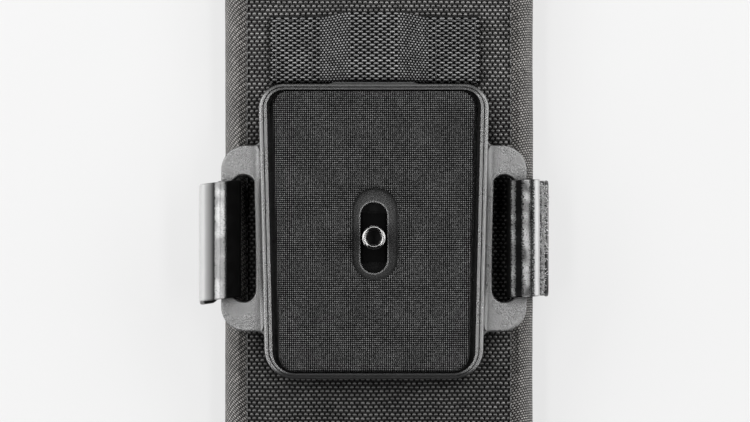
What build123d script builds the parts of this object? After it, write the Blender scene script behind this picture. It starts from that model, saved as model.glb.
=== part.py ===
"""A strap-on camera plate, cinched by a hook-and-loop strap onto a padded shoulder-strap section.

The part lies on its back. +Z is up, out of the plate's face; +Y runs along the padded section towards
the webbing loop; +X is to the right. The origin is on the floor below the camera screw. Millimetres.
"""

import os
from math import cos, radians, sin, sqrt, tan

from build123d import *

os.makedirs("parts", exist_ok=True)

# ---------------------------------------------------------------- driving dimensions
# Padded section
PAD_X = 1.35  # the padded section's centre line, beside the plate's
PAD_HALF_W = 41.65
PAD_HALF_L = 80.0
PAD_T = 16.0
PANEL_HALF_W = 35.3  # where the front panel's side seams lie
SIDE_R = PAD_HALF_W - PANEL_HALF_W
CLOTH = 0.9
END_CAP = 3.0

# Plate frame
ZF = 18.3  # underside of the frame
FRAME_H = 9.0
FRAME_TOP = 40.9
FRAME_BOTTOM = -37.6
FRAME_HALF_W = 29.78  # at y = 0
TAPER = 0.02343  # half width gained per millimetre of y
R_TOP = 6.6
R_BOTTOM = 8.0
WALL = 2.1
END_WALL = 1.5
COVER_T = 1.5
FLOOR_LOW = 5.0  # the frame's floor, above its underside
FLOOR_HIGH = 6.8
MOAT_T = 0.9
FIT = 0.15

# Ears with strap slots
EAR_TILT = 10.0
EAR_T = 3.0
EAR_ROOT_X = 28.6
EAR_ROOT_Z = ZF + 3.9
EAR_TIP_X = 40.65
EAR_TOP = 24.6
EAR_BOTTOM = -25.1
EAR_R = 6.6
EAR_NECK_R = 2.2
ROOT_R = 1.7
SLOT_IN_X = 31.3
SLOT_OUT_X = 37.9
SLOT_TOP = 16.7
SLOT_BOTTOM = -17.3

# Screw slot, slide block and camera screw
SCREW_SLOT_W = 7.25
SCREW_SLOT_L = 19.0
SCREW_R = 3.175  # quarter-inch thread, major radius
SHANK_R = 2.62
BORE_R = 2.75
HEX_AF = 3.57
SOCKET_MOUTH_R = 2.15
SOCKET_DEPTH = 4.2
BLOCK_W = 13.0
BLOCK_LOW = COVER_T + 0.1
BLOCK_HIGH = 4.9
FLANGE_R = 5.0
FLANGE_LOW = 2.2
FLANGE_HIGH = 3.1
WASHER_IN_R = 3.4
WASHER_T = 0.45
THREAD_LOW = 8.95
TIP = 13.4
TIP_ROUND = 0.6

# Back of the plate
COVER_W, COVER_L, COVER_R = 50.0, 67.0, 4.0
CHANNEL_W, CHANNEL_L = 13.1, 24.7
POCKET_X, POCKET_Y, POCKET_W, POCKET_L = 29.0, 25.0, 12.6, 21.0
END_POCKET_Y, END_POCKET_L = 42.0, 12.0
COVER_SCREW_X, COVER_SCREW_Y = 43.0, 58.0
COVER_SCREW_R = 1.25
PILOT_R = 1.25
PILOT_TOP = 4.6
SCREW_HEAD_R, SCREW_HEAD_T = 2.35, 1.15
TAIL_PILE_T = 0.45
TAIL_CORNER_R = 3.4

# Face pad
FACE_TOP = 39.15
FACE_BOTTOM = -35.6
FACE_HALF_W = 25.93
FACE_TAPER = 0.0204
FACE_RUBBER_T = 1.3
FACE_CLOTH_T = 0.6
FACE_HOLE_W = 12.2
FACE_HOLE_L = 24.6
FACE_HOLE_Y = 0.95

# Webbing loop and the tongue that it holds
WEB_T = 1.3
WEB_X0, WEB_X1 = -27.7, 28.3
WEB_Y0, WEB_Y1 = 41.5, 60.3
WEB_STITCH_X = 14.35  # half the unsewn span
TONGUE_HALF_W = 5.7
TONGUE_TIP_Y = 58.0
TONGUE_LOW = PAD_T + 0.2
TONGUE_T = 6.0

# Strap
STRAP_W = 31.3
STRAP_Y = -0.3
HINGE_Z = 6.35
STRAP_T = 1.1
PILE_T = 0.7
PLY = STRAP_T + 0.05
CORNER_X, CORNER_Z = 40.75, 6.3  # centre of the nested bends at the right lower corner
TAB_R = 3.0
HOOK_R = TAB_R + (STRAP_T + PILE_T) / 2 + 0.05
LOOP_R = HOOK_R + PILE_T + 0.05
BAND_R = LOOP_R + (STRAP_T + PILE_T) / 2 + 0.05
TAB_END_X = 18.0
TAIL_TOP = 16.5
CHANNEL_HALF_Y = 18.6


def save(part, name):
    """Labels a finished piece and writes it as its own STEP file."""
    part.label = name
    export_step(part, f"parts/{name}.step")


def tapered_plate(y_low, y_high, half, taper, r_low, r_high, z):
    """A rounded plate outline at height z that widens towards +Y; half is its half width at y = 0."""
    low, high = half + taper * y_low, half + taper * y_high
    with BuildSketch(Plane.XY.offset(z)) as outline:
        with BuildLine():
            Polyline((-low, y_low), (low, y_low), (high, y_high), (-high, y_high), close=True)
        make_face()
        fillet(outline.vertices().group_by(Axis.Y)[0], r_low)
        fillet(outline.vertices().group_by(Axis.Y)[-1], r_high)
    return outline.sketch


# ---------------------------------------------------------------- padded section
def side_x(z, half_w=PAD_HALF_W):
    """How far the padded section reaches from its centre line at height z."""
    return PANEL_HALF_W + (half_w - PANEL_HALF_W) * sqrt(1 - ((z - PAD_T / 2) / (PAD_T / 2)) ** 2)


def padded_section(inset):
    """Cross-section of the padded section, inset by a cloth's thickness: a slab with elliptical sides."""
    with BuildSketch(Plane.XZ) as section:
        with Locations((PAD_X, PAD_T / 2)):
            Rectangle(2 * PANEL_HALF_W, PAD_T - 2 * inset)
        for side in (-1, 1):
            with Locations((PAD_X + side * PANEL_HALF_W, PAD_T / 2)):
                Ellipse(SIDE_R - inset, PAD_T / 2 - inset)
    return section.sketch


# The strap's channel in the back is shallow where the band runs alone and deeper under the overlap.
CHANNEL_STEPS = [(-50.0, TAB_END_X - 1.5, 1.5), (TAB_END_X - 1.5, 50.0, 4.6)]


def strap_channel(grow):
    """The space that the strap presses into the back, grown by a cloth's thickness."""
    with BuildPart() as channel:
        for x0, x1, top in CHANNEL_STEPS:
            with Locations(((x0 + x1) / 2, 0, (top + grow) / 2 - 1)):
                Box(x1 - x0 + 2 * grow, 2 * (CHANNEL_HALF_Y + grow), top + grow + 2)
    return channel.part


INNER_HALF_L = PAD_HALF_L - END_CAP

with BuildPart() as foam_core:
    extrude(padded_section(CLOTH), amount=INNER_HALF_L, both=True)
    add(strap_channel(CLOTH), mode=Mode.SUBTRACT)
save(foam_core.part, "foam_core")

with BuildPart() as front_panel:
    with Locations((PAD_X, 0, PAD_T - CLOTH / 2)):
        Box(2 * PANEL_HALF_W, 2 * INNER_HALF_L, CLOTH)
save(front_panel.part, "front_panel")

with BuildPart() as back_panel:
    with Locations((PAD_X, 0, CLOTH / 2)):
        Box(2 * PANEL_HALF_W, 2 * INNER_HALF_L, CLOTH)
    add(strap_channel(CLOTH))
    extrude(padded_section(0), amount=INNER_HALF_L, both=True, mode=Mode.INTERSECT)
    add(strap_channel(0), mode=Mode.SUBTRACT)
save(back_panel.part, "back_panel")

for side, side_name in ((-1, "side_wrap_left"), (1, "side_wrap_right")):
    with BuildPart() as side_wrap:
        extrude(padded_section(0), amount=INNER_HALF_L, both=True)
        extrude(padded_section(CLOTH), amount=INNER_HALF_L, both=True, mode=Mode.SUBTRACT)
        add(strap_channel(CLOTH), mode=Mode.SUBTRACT)
        split(bisect_by=Plane.YZ.offset(PAD_X + side * PANEL_HALF_W), keep=Keep.TOP if side > 0 else Keep.BOTTOM)
    save(side_wrap.part, side_name)

for end, end_name in ((1, "end_cap_top"), (-1, "end_cap_bottom")):
    with BuildPart() as end_cap:
        extrude(padded_section(0), amount=PAD_HALF_L, both=True)
        split(bisect_by=Plane.XZ.offset(-end * INNER_HALF_L), keep=Keep.BOTTOM if end > 0 else Keep.TOP)
        outer = end_cap.faces().sort_by(Axis.Y)[-1 if end > 0 else 0]
        fillet(outer.edges(), END_CAP - 0.4)
    save(end_cap.part, end_name)


# ---------------------------------------------------------------- webbing loop on the padded section
def strip(corners, radii, thick, width, y_mid):
    """A flat strip of one thickness whose centre line follows corners in XZ, rounded by radii."""
    with BuildPart() as body:
        with BuildSketch(Plane.XZ.offset(-y_mid)):
            with BuildLine():
                FilletPolyline(*corners, radius=radii)
            trace(line_width=thick)
        extrude(amount=width / 2, both=True)
    return body.part


WEB_LOW = PAD_T + 0.05 + WEB_T / 2
WEB_HIGH = TONGUE_LOW + TONGUE_T + 0.1 + WEB_T / 2
WEB_PATH = [
    (WEB_X0, WEB_LOW),
    (-WEB_STITCH_X, WEB_LOW),
    (-TONGUE_HALF_W - 0.9, WEB_HIGH),
    (TONGUE_HALF_W + 0.9, WEB_HIGH),
    (WEB_STITCH_X, WEB_LOW),
    (WEB_X1, WEB_LOW),
]
web_mid = (WEB_Y0 + WEB_Y1) / 2
webbing_loop = strip(WEB_PATH, 1.6, WEB_T, WEB_Y1 - WEB_Y0, web_mid)
save(webbing_loop, "webbing_loop")

with BuildPart() as loop_stitching:
    for x in (WEB_X0 + 1.6, -WEB_STITCH_X - 2.4, WEB_STITCH_X + 2.4, WEB_X1 - 1.6):
        with Locations((x, web_mid, WEB_LOW + WEB_T / 2 + 0.13)):
            with GridLocations(1, 2.9, 1, 6):
                Box(0.5, 2.2, 0.24)
save(loop_stitching.part, "loop_stitching")

with BuildPart() as panel_seams:
    for x in (PAD_X - PANEL_HALF_W + 1.3, PAD_X + PANEL_HALF_W - 1.3):
        with Locations((x, 0, PAD_T + 0.12)):
            with GridLocations(1, 3.5, 1, 43):
                Box(0.45, 2.6, 0.22)
save(panel_seams.part, "panel_seams")

# ---------------------------------------------------------------- plate frame
EAR_SLOPE = tan(radians(EAR_TILT))


def ear_plane(above):
    """Sketch plane of the right ear, above its mid-surface; local x points outwards along the ear."""
    c, s = cos(radians(EAR_TILT)), sin(radians(EAR_TILT))
    return Plane(origin=(EAR_ROOT_X + s * above, 0, EAR_ROOT_Z + c * above), x_dir=(c, 0, -s), z_dir=(s, 0, c))


def along_ear(x):
    """Distance along the tilted ear from its root to plan position x."""
    return (x - EAR_ROOT_X) / cos(radians(EAR_TILT))


def make_ear():
    """The right ear with its strap slot, reaching into the frame's side wall."""
    wall_low = along_ear(FRAME_HALF_W + TAPER * EAR_BOTTOM - 0.35)
    wall_high = along_ear(FRAME_HALF_W + TAPER * EAR_TOP - 0.35)
    with BuildPart() as ear:
        with BuildSketch(ear_plane(-EAR_T / 2)) as outline:
            with BuildLine():
                Polyline(
                    (-1.0, EAR_BOTTOM - 3),
                    (wall_low - 0.1, EAR_BOTTOM - 3),
                    (wall_low, EAR_BOTTOM),
                    (along_ear(EAR_TIP_X), EAR_BOTTOM),
                    (along_ear(EAR_TIP_X), EAR_TOP),
                    (wall_high, EAR_TOP),
                    (wall_high - 0.1, EAR_TOP + 3),
                    (-1.0, EAR_TOP + 3),
                    close=True,
                )
            make_face()
            fillet(outline.vertices().group_by(Axis.X, tol_digits=3)[-1], EAR_R)
            necks = outline.vertices().filter_by(
                lambda v: wall_low - 0.01 < v.X < wall_high + 0.01 and EAR_BOTTOM - 0.1 < v.Y < EAR_TOP + 0.1
            )
            fillet(necks, EAR_NECK_R)
            with Locations((along_ear((SLOT_IN_X + SLOT_OUT_X) / 2), (SLOT_TOP + SLOT_BOTTOM) / 2)):
                SlotOverall(SLOT_TOP - SLOT_BOTTOM, SLOT_OUT_X - SLOT_IN_X, rotation=90, mode=Mode.SUBTRACT)
        extrude(amount=EAR_T)
        outer = [f for f in ear.faces() if f.area > 200]
        for face in sorted(outer, key=lambda f: f.center().Z):
            fillet(face.edges().filter_by(lambda e: abs(e.center().X) > EAR_ROOT_X + 1.5), 0.5)
    return ear.part


def root_fillet():
    """The concave fillet between the right ear's top and the frame's side wall, following its taper."""
    wall = FRAME_HALF_W
    ear_top = EAR_ROOT_Z + EAR_T / 2 / cos(radians(EAR_TILT))
    high = ear_top - EAR_SLOPE * (wall - EAR_ROOT_X)
    low = high - EAR_SLOPE * ROOT_R
    with BuildPart() as fillet_strip:
        with BuildSketch(Plane(origin=(0, 0, 0), x_dir=(1, -TAPER, 0), z_dir=(-TAPER, -1, 0))):
            with BuildLine():
                Polyline((wall, high + ROOT_R), (wall - 1, high + ROOT_R), (wall - 1, low - 1),
                         (wall + ROOT_R, low - 1), (wall + ROOT_R, low))
                RadiusArc((wall + ROOT_R, low), (wall, high + ROOT_R), ROOT_R * 1.1)
            make_face()
        extrude(amount=30, both=True)
        # its ends slope down to the ear's edges
        with BuildSketch(Plane.YZ):
            Polygon((EAR_BOTTOM + 0.2, ZF - 2), (EAR_TOP - 0.2, ZF - 2), (EAR_TOP - 0.2, low + 0.3),
                    (EAR_TOP - 0.2 - 2 * ROOT_R, high + ROOT_R + 0.2), (EAR_BOTTOM + 0.2 + 2 * ROOT_R, high + ROOT_R + 0.2),
                    (EAR_BOTTOM + 0.2, low + 0.3), align=None)
        extrude(amount=60, both=True, mode=Mode.INTERSECT)
    return fillet_strip.part


with BuildPart() as mount_frame:
    with BuildSketch(Plane.XY.offset(ZF)):
        add(tapered_plate(FRAME_BOTTOM, FRAME_TOP, FRAME_HALF_W, TAPER, R_BOTTOM, R_TOP, 0))
    extrude(amount=FRAME_H)
    right_ear = make_ear()
    right_root = root_fillet()
    for piece in (right_ear, right_root, right_ear.mirror(Plane.YZ), right_root.mirror(Plane.YZ)):
        add(piece)
    fillet(mount_frame.faces().sort_by(Axis.Z)[-1].edges(), 0.7)
    chamfer(mount_frame.faces().sort_by(Axis.Z)[0].edges(), 0.5)
    # the tongue under the webbing loop
    with Locations((0, (FRAME_TOP - 3 + TONGUE_TIP_Y) / 2, TONGUE_LOW + TONGUE_T / 2)):
        Box(2 * TONGUE_HALF_W, TONGUE_TIP_Y - FRAME_TOP + 3, TONGUE_T)
    with BuildSketch(Plane.XY.offset(ZF + 0.6)):
        Polygon((12.4, FRAME_TOP - 1), (12.4, FRAME_TOP - 0.1), (10.4, FRAME_TOP + 0.5),
                (-10.4, FRAME_TOP + 0.5), (-12.4, FRAME_TOP - 0.1), (-12.4, FRAME_TOP - 1), align=None)
    extrude(amount=FRAME_H - 1.5)
    # tray for the face pad, with its screw slot
    with BuildSketch(Plane.XY.offset(ZF + FLOOR_HIGH)):
        add(tapered_plate(FRAME_BOTTOM + END_WALL, FRAME_TOP - END_WALL, FRAME_HALF_W - WALL, TAPER,
                          R_BOTTOM - WALL, R_TOP - WALL, 0))
    extrude(amount=FRAME_H, mode=Mode.SUBTRACT)
    with BuildSketch(Plane.XY.offset(ZF)):
        SlotOverall(SCREW_SLOT_L, SCREW_SLOT_W, rotation=90)
    extrude(amount=FRAME_H, mode=Mode.SUBTRACT)
    # moat between the face pad and the side walls
    with BuildSketch(Plane.XY.offset(ZF + FLOOR_HIGH - MOAT_T)):
        add(tapered_plate(FRAME_BOTTOM + END_WALL, FRAME_TOP - END_WALL, FRAME_HALF_W - WALL, TAPER,
                          R_BOTTOM - WALL, R_TOP - WALL, 0))
        add(tapered_plate(FACE_BOTTOM + 0.9, FACE_TOP - 0.9, FACE_HALF_W - 0.9, FACE_TAPER, 4.0, 4.0, 0),
            mode=Mode.SUBTRACT)
    extrude(amount=MOAT_T + 1, mode=Mode.SUBTRACT)
    # fine groove along the crest of the rim
    with BuildSketch(Plane.XY.offset(ZF + FRAME_H - 0.35)):
        add(tapered_plate(FRAME_BOTTOM + END_WALL / 2 - 0.05, FRAME_TOP - END_WALL / 2 + 0.05,
                          FRAME_HALF_W - WALL / 2 - 0.05 + 0.1, TAPER, R_BOTTOM - 0.9, R_TOP - 0.9, 0))
        add(tapered_plate(FRAME_BOTTOM + END_WALL / 2 + 0.25, FRAME_TOP - END_WALL / 2 - 0.25,
                          FRAME_HALF_W - WALL / 2 - 0.25, TAPER, R_BOTTOM - 1.2, R_TOP - 1.2, 0),
            mode=Mode.SUBTRACT)
    extrude(amount=1, mode=Mode.SUBTRACT)
    # hollow underside: cover recess, slide channel, lightening pockets and pilot holes
    with BuildSketch(Plane.XY.offset(ZF)):
        RectangleRounded(COVER_W, COVER_L, COVER_R)
    extrude(amount=COVER_T, mode=Mode.SUBTRACT)
    with BuildSketch(Plane.XY.offset(ZF)):
        Rectangle(CHANNEL_W, CHANNEL_L)
    extrude(amount=FLOOR_LOW, mode=Mode.SUBTRACT)
    with BuildSketch(Plane.XY.offset(ZF)):
        with GridLocations(POCKET_X, POCKET_Y, 2, 2):
            RectangleRounded(POCKET_W, POCKET_L, 2)
        with GridLocations(1, END_POCKET_Y, 1, 2):
            RectangleRounded(CHANNEL_W, END_POCKET_L, 2)
    extrude(amount=FLOOR_LOW, mode=Mode.SUBTRACT)
    with BuildSketch(Plane.XY.offset(ZF)):
        with GridLocations(COVER_SCREW_X, COVER_SCREW_Y, 2, 2):
            Circle(PILOT_R)
    extrude(amount=PILOT_TOP, mode=Mode.SUBTRACT)
save(mount_frame.part, "mount_frame")

# ---------------------------------------------------------------- back of the plate
with BuildPart() as back_cover:
    with BuildSketch(Plane.XY.offset(ZF)):
        RectangleRounded(COVER_W - 2 * FIT, COVER_L - 2 * FIT, COVER_R - FIT)
    extrude(amount=COVER_T)
    with Locations(Plane.XY.offset(ZF)):
        with GridLocations(COVER_SCREW_X, COVER_SCREW_Y, 2, 2):
            Hole(1.45)
            Cone(SCREW_HEAD_R + 0.05, 1.45, SCREW_HEAD_T, align=(Align.CENTER, Align.CENTER, Align.MIN),
                 mode=Mode.SUBTRACT)
save(back_cover.part, "back_cover")

with BuildPart() as cover_screws:
    with Locations(Plane.XY.offset(ZF + 0.05)):
        with GridLocations(COVER_SCREW_X, COVER_SCREW_Y, 2, 2):
            Cone(SCREW_HEAD_R, COVER_SCREW_R, SCREW_HEAD_T - 0.1, align=(Align.CENTER, Align.CENTER, Align.MIN))
            Cylinder(COVER_SCREW_R, PILOT_TOP - 0.4, align=(Align.CENTER, Align.CENTER, Align.MIN))
            with Locations((0, 0, 0.3)):
                Box(1.9, 0.5, 0.6, mode=Mode.SUBTRACT)
                Box(0.5, 1.9, 0.6, mode=Mode.SUBTRACT)
save(cover_screws.part, "cover_screws")

with BuildPart() as backing_pad:
    with BuildSketch(Plane.XY.offset(PAD_T + 0.1)):
        add(tapered_plate(FRAME_BOTTOM + 1.6, FRAME_TOP - 1.6, FRAME_HALF_W - 1.6, TAPER, R_BOTTOM - 1.6, R_TOP - 1.6, 0))
    extrude(amount=ZF - PAD_T - 0.15)
    chamfer(backing_pad.faces().sort_by(Axis.Z)[0].edges(), 0.4)
    with Locations((0, FRAME_TOP - 2, PAD_T + 2)):
        Box(2 * TONGUE_HALF_W + 0.4, 6, 6, mode=Mode.SUBTRACT)
save(backing_pad.part, "backing_pad")

# ---------------------------------------------------------------- face pad
FACE_Z = ZF + FLOOR_HIGH + 0.02


def face_layer(z, thick, inset):
    """One layer of the face pad with its obround hole."""
    with BuildPart() as layer:
        with BuildSketch(Plane.XY.offset(z)):
            add(tapered_plate(FACE_BOTTOM + inset, FACE_TOP - inset, FACE_HALF_W - inset, FACE_TAPER, 4.4, 4.2, 0))
            with Locations((0.3, FACE_HOLE_Y)):
                SlotOverall(FACE_HOLE_L, FACE_HOLE_W, rotation=90, mode=Mode.SUBTRACT)
        extrude(amount=thick)
    return layer.part


save(face_layer(FACE_Z, FACE_RUBBER_T, 0.0), "face_rubber")
save(face_layer(FACE_Z + FACE_RUBBER_T + 0.02, FACE_CLOTH_T, 0.0), "face_cloth")

# ---------------------------------------------------------------- slide block and camera screw
with BuildPart() as slide_block:
    with Locations((0, 0, ZF + BLOCK_LOW)):
        Box(BLOCK_W, BLOCK_W, BLOCK_HIGH - BLOCK_LOW, align=(Align.CENTER, Align.CENTER, Align.MIN))
    chamfer(slide_block.edges().filter_by(Axis.Z), 0.8)
    with Locations((0, 0, ZF + BLOCK_HIGH)):
        Hole(BORE_R)
    with Locations((0, 0, ZF + BLOCK_LOW)):
        Cylinder(FLANGE_R + 0.2, FLANGE_HIGH + 0.05 - BLOCK_LOW, align=(Align.CENTER, Align.CENTER, Align.MIN),
                 mode=Mode.SUBTRACT)
save(slide_block.part, "slide_block")

PITCH = 1.27
rings = int((TIP - TIP_ROUND - THREAD_LOW) / PITCH)
profile = [
    (0, FLANGE_LOW),
    (FLANGE_R, FLANGE_LOW),
    (FLANGE_R, FLANGE_HIGH),
    (SHANK_R, FLANGE_HIGH),
    (SHANK_R, THREAD_LOW),
    (SCREW_R, THREAD_LOW),
]
for ring in range(rings):
    start = THREAD_LOW + 0.2 + ring * PITCH
    profile.append((SCREW_R, start))
    profile.append((SCREW_R - 0.6, start + 0.4))
    profile.append((SCREW_R - 0.6, start + 0.5))
    profile.append((SCREW_R, start + 0.9))
profile.append((SCREW_R, TIP - TIP_ROUND))
socket = [
    (SOCKET_MOUTH_R, TIP - 0.22),
    (HEX_AF / 2, TIP - 0.6),
    (HEX_AF / 2, TIP - SOCKET_DEPTH),
    (0, TIP - SOCKET_DEPTH - 1.0),
    (0, FLANGE_LOW),
]
with BuildPart() as camera_screw:
    with BuildSketch(Plane.XZ):
        with BuildLine():
            Polyline([(x, ZF + z) for x, z in profile])
            ThreePointArc((SCREW_R, ZF + TIP - TIP_ROUND), (2.97, ZF + TIP - 0.17), (2.5, ZF + TIP))
            ThreePointArc((2.5, ZF + TIP), (2.3, ZF + TIP - 0.06), (SOCKET_MOUTH_R, ZF + TIP - 0.22))
            Polyline([(x, ZF + z) for x, z in socket])
        make_face()
    revolve(axis=Axis.Z)
    with BuildSketch(Plane.XY.offset(ZF + TIP)):
        RegularPolygon(HEX_AF / 2, 6, major_radius=False)
    extrude(amount=-SOCKET_DEPTH, mode=Mode.SUBTRACT)
save(camera_screw.part, "camera_screw")

with BuildPart() as spring_washer:
    with BuildSketch(Plane.XY.offset(ZF + COVER_T + 0.12)):
        Circle(FLANGE_R)
        Circle(WASHER_IN_R, mode=Mode.SUBTRACT)
    extrude(amount=WASHER_T)
save(spring_washer.part, "spring_washer")

# ---------------------------------------------------------------- strap
def side_strip(corners, radii, thick, width=STRAP_W):
    """A strap layer, centred on the strap."""
    return strip(corners, radii, thick, width, STRAP_Y)


BAND_Z = CORNER_Z - BAND_R
BAND_X = CORNER_X + BAND_R
left_path = [
    (-41.1, 5.0),
    (-41.1, 13.2),
    (-36.1, 18.2),
    (-36.1, 21.2),
    (-40.5, 26.5),
    (-42.3, 26.12),
    (-46.1, 26.12),
    (-46.1, 15.5),
    (-42.3, 10.5),
    (-42.3, BAND_Z),
    (BAND_X, BAND_Z),
    (BAND_X, HINGE_Z - 0.05),
]
strap_band = side_strip(left_path, (1.6, 1.0, 1.2, 0.9, 0.9, 3.1, 2.6, 3.0, 3.6, BAND_R), STRAP_T)
save(strap_band, "strap_band")

TAB_Z = CORNER_Z - TAB_R
TAB_X = CORNER_X + TAB_R
tab_path = [
    (TAB_X - PLY, 12.8),
    (TAB_X - PLY, 15.4),
    (36.1, 18.9),
    (36.1, 24.7),
    (39.7, 25.0),
    (41.6, 24.63),
    (TAB_X, 24.6),
    (TAB_X, TAB_Z),
    (TAB_END_X, TAB_Z),
]
strap_tab = side_strip(tab_path, (1.5, 1.2, 1.5, 0.9, 0.9, 1.9, TAB_R), STRAP_T)
save(strap_tab, "strap_tab")

HOOK_X, HOOK_Z = CORNER_X + HOOK_R, CORNER_Z - HOOK_R
hook_path = [(HOOK_X, TAIL_TOP + 0.4), (HOOK_X, HOOK_Z), (TAB_END_X + 0.8, HOOK_Z)]
save(side_strip(hook_path, HOOK_R, PILE_T, STRAP_W - 1.2), "hook_tape")

LOOP_X, LOOP_Z = CORNER_X + LOOP_R, CORNER_Z - LOOP_R
loop_path = [(LOOP_X, HINGE_Z - 0.05), (LOOP_X, LOOP_Z), (TAB_END_X + 0.8, LOOP_Z)]
save(side_strip(loop_path, LOOP_R - 0.1, PILE_T, STRAP_W - 1.2), "loop_tape")

# the strap's free end, which peels away from the tab
with BuildPart() as strap_tail:
    with Locations((BAND_X, STRAP_Y, (HINGE_Z + TAIL_TOP) / 2)):
        Box(STRAP_T, STRAP_W, TAIL_TOP - HINGE_Z)
    tips = strap_tail.edges().filter_by(Axis.X).group_by(Axis.Z)[-1]
    fillet(tips, TAIL_CORNER_R)
save(strap_tail.part, "strap_tail")

with BuildPart() as tail_loop_tape:
    with Locations((BAND_X - STRAP_T / 2 - 0.05 - TAIL_PILE_T / 2, STRAP_Y, (HINGE_Z + 0.4 + TAIL_TOP - 0.5) / 2)):
        Box(TAIL_PILE_T, STRAP_W - 1.2, TAIL_TOP - HINGE_Z - 0.9)
    tips = tail_loop_tape.edges().filter_by(Axis.X).group_by(Axis.Z)[-1]
    fillet(tips, TAIL_CORNER_R - 0.6)
save(tail_loop_tape.part, "tail_loop_tape")

with BuildPart() as strap_stitching:
    for z in (6.0, 8.6):
        with Locations((-42.3 - STRAP_T / 2 - 0.13, STRAP_Y, z)):
            with GridLocations(1, 3.0, 1, 9):
                Box(0.24, 2.2, 0.5)
    with Locations((TAB_X + STRAP_T / 2 + 0.13, STRAP_Y, 17.6)):
        with GridLocations(1, 3.0, 1, 9):
            Box(0.24, 2.2, 0.5)
save(strap_stitching.part, "strap_stitching")
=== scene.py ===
from math import atan2, cos, exp, hypot, pi, sin, sqrt, tan

import bpy
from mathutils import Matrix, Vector, noise


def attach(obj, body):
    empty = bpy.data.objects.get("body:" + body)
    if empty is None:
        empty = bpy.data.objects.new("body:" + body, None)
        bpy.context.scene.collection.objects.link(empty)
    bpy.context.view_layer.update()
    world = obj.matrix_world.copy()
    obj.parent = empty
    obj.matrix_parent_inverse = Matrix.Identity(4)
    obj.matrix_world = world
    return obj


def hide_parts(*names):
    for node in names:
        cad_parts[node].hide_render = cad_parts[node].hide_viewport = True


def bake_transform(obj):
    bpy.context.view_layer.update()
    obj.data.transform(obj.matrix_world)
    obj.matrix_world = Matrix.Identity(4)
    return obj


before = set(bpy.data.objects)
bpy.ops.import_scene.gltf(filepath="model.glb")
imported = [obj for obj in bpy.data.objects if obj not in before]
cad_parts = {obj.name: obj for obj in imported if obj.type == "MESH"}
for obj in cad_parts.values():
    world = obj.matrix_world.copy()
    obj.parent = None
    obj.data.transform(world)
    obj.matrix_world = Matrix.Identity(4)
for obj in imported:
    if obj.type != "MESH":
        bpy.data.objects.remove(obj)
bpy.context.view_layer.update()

MM = 0.001


# ------------------------------------------------------------------ camera
# The view looks straight down on the plate's face, from far enough away that its sides hardly show.
FACE_Z = 31.7 * MM
DISTANCE = 1.0
VIEW_W = 198.4 * MM
cam_data = bpy.data.cameras.new("camera")
cam = bpy.data.objects.new("camera", cam_data)
bpy.context.scene.collection.objects.link(cam)
cam.location = (0.3 * MM, 7.1 * MM, FACE_Z + DISTANCE)
cam_data.sensor_width = 36
cam_data.lens = 36 * DISTANCE / VIEW_W
cam_data.clip_start, cam_data.clip_end = 0.05, 10
bpy.context.scene.camera = cam
bpy.context.scene.view_settings.view_transform = "Standard"


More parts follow.
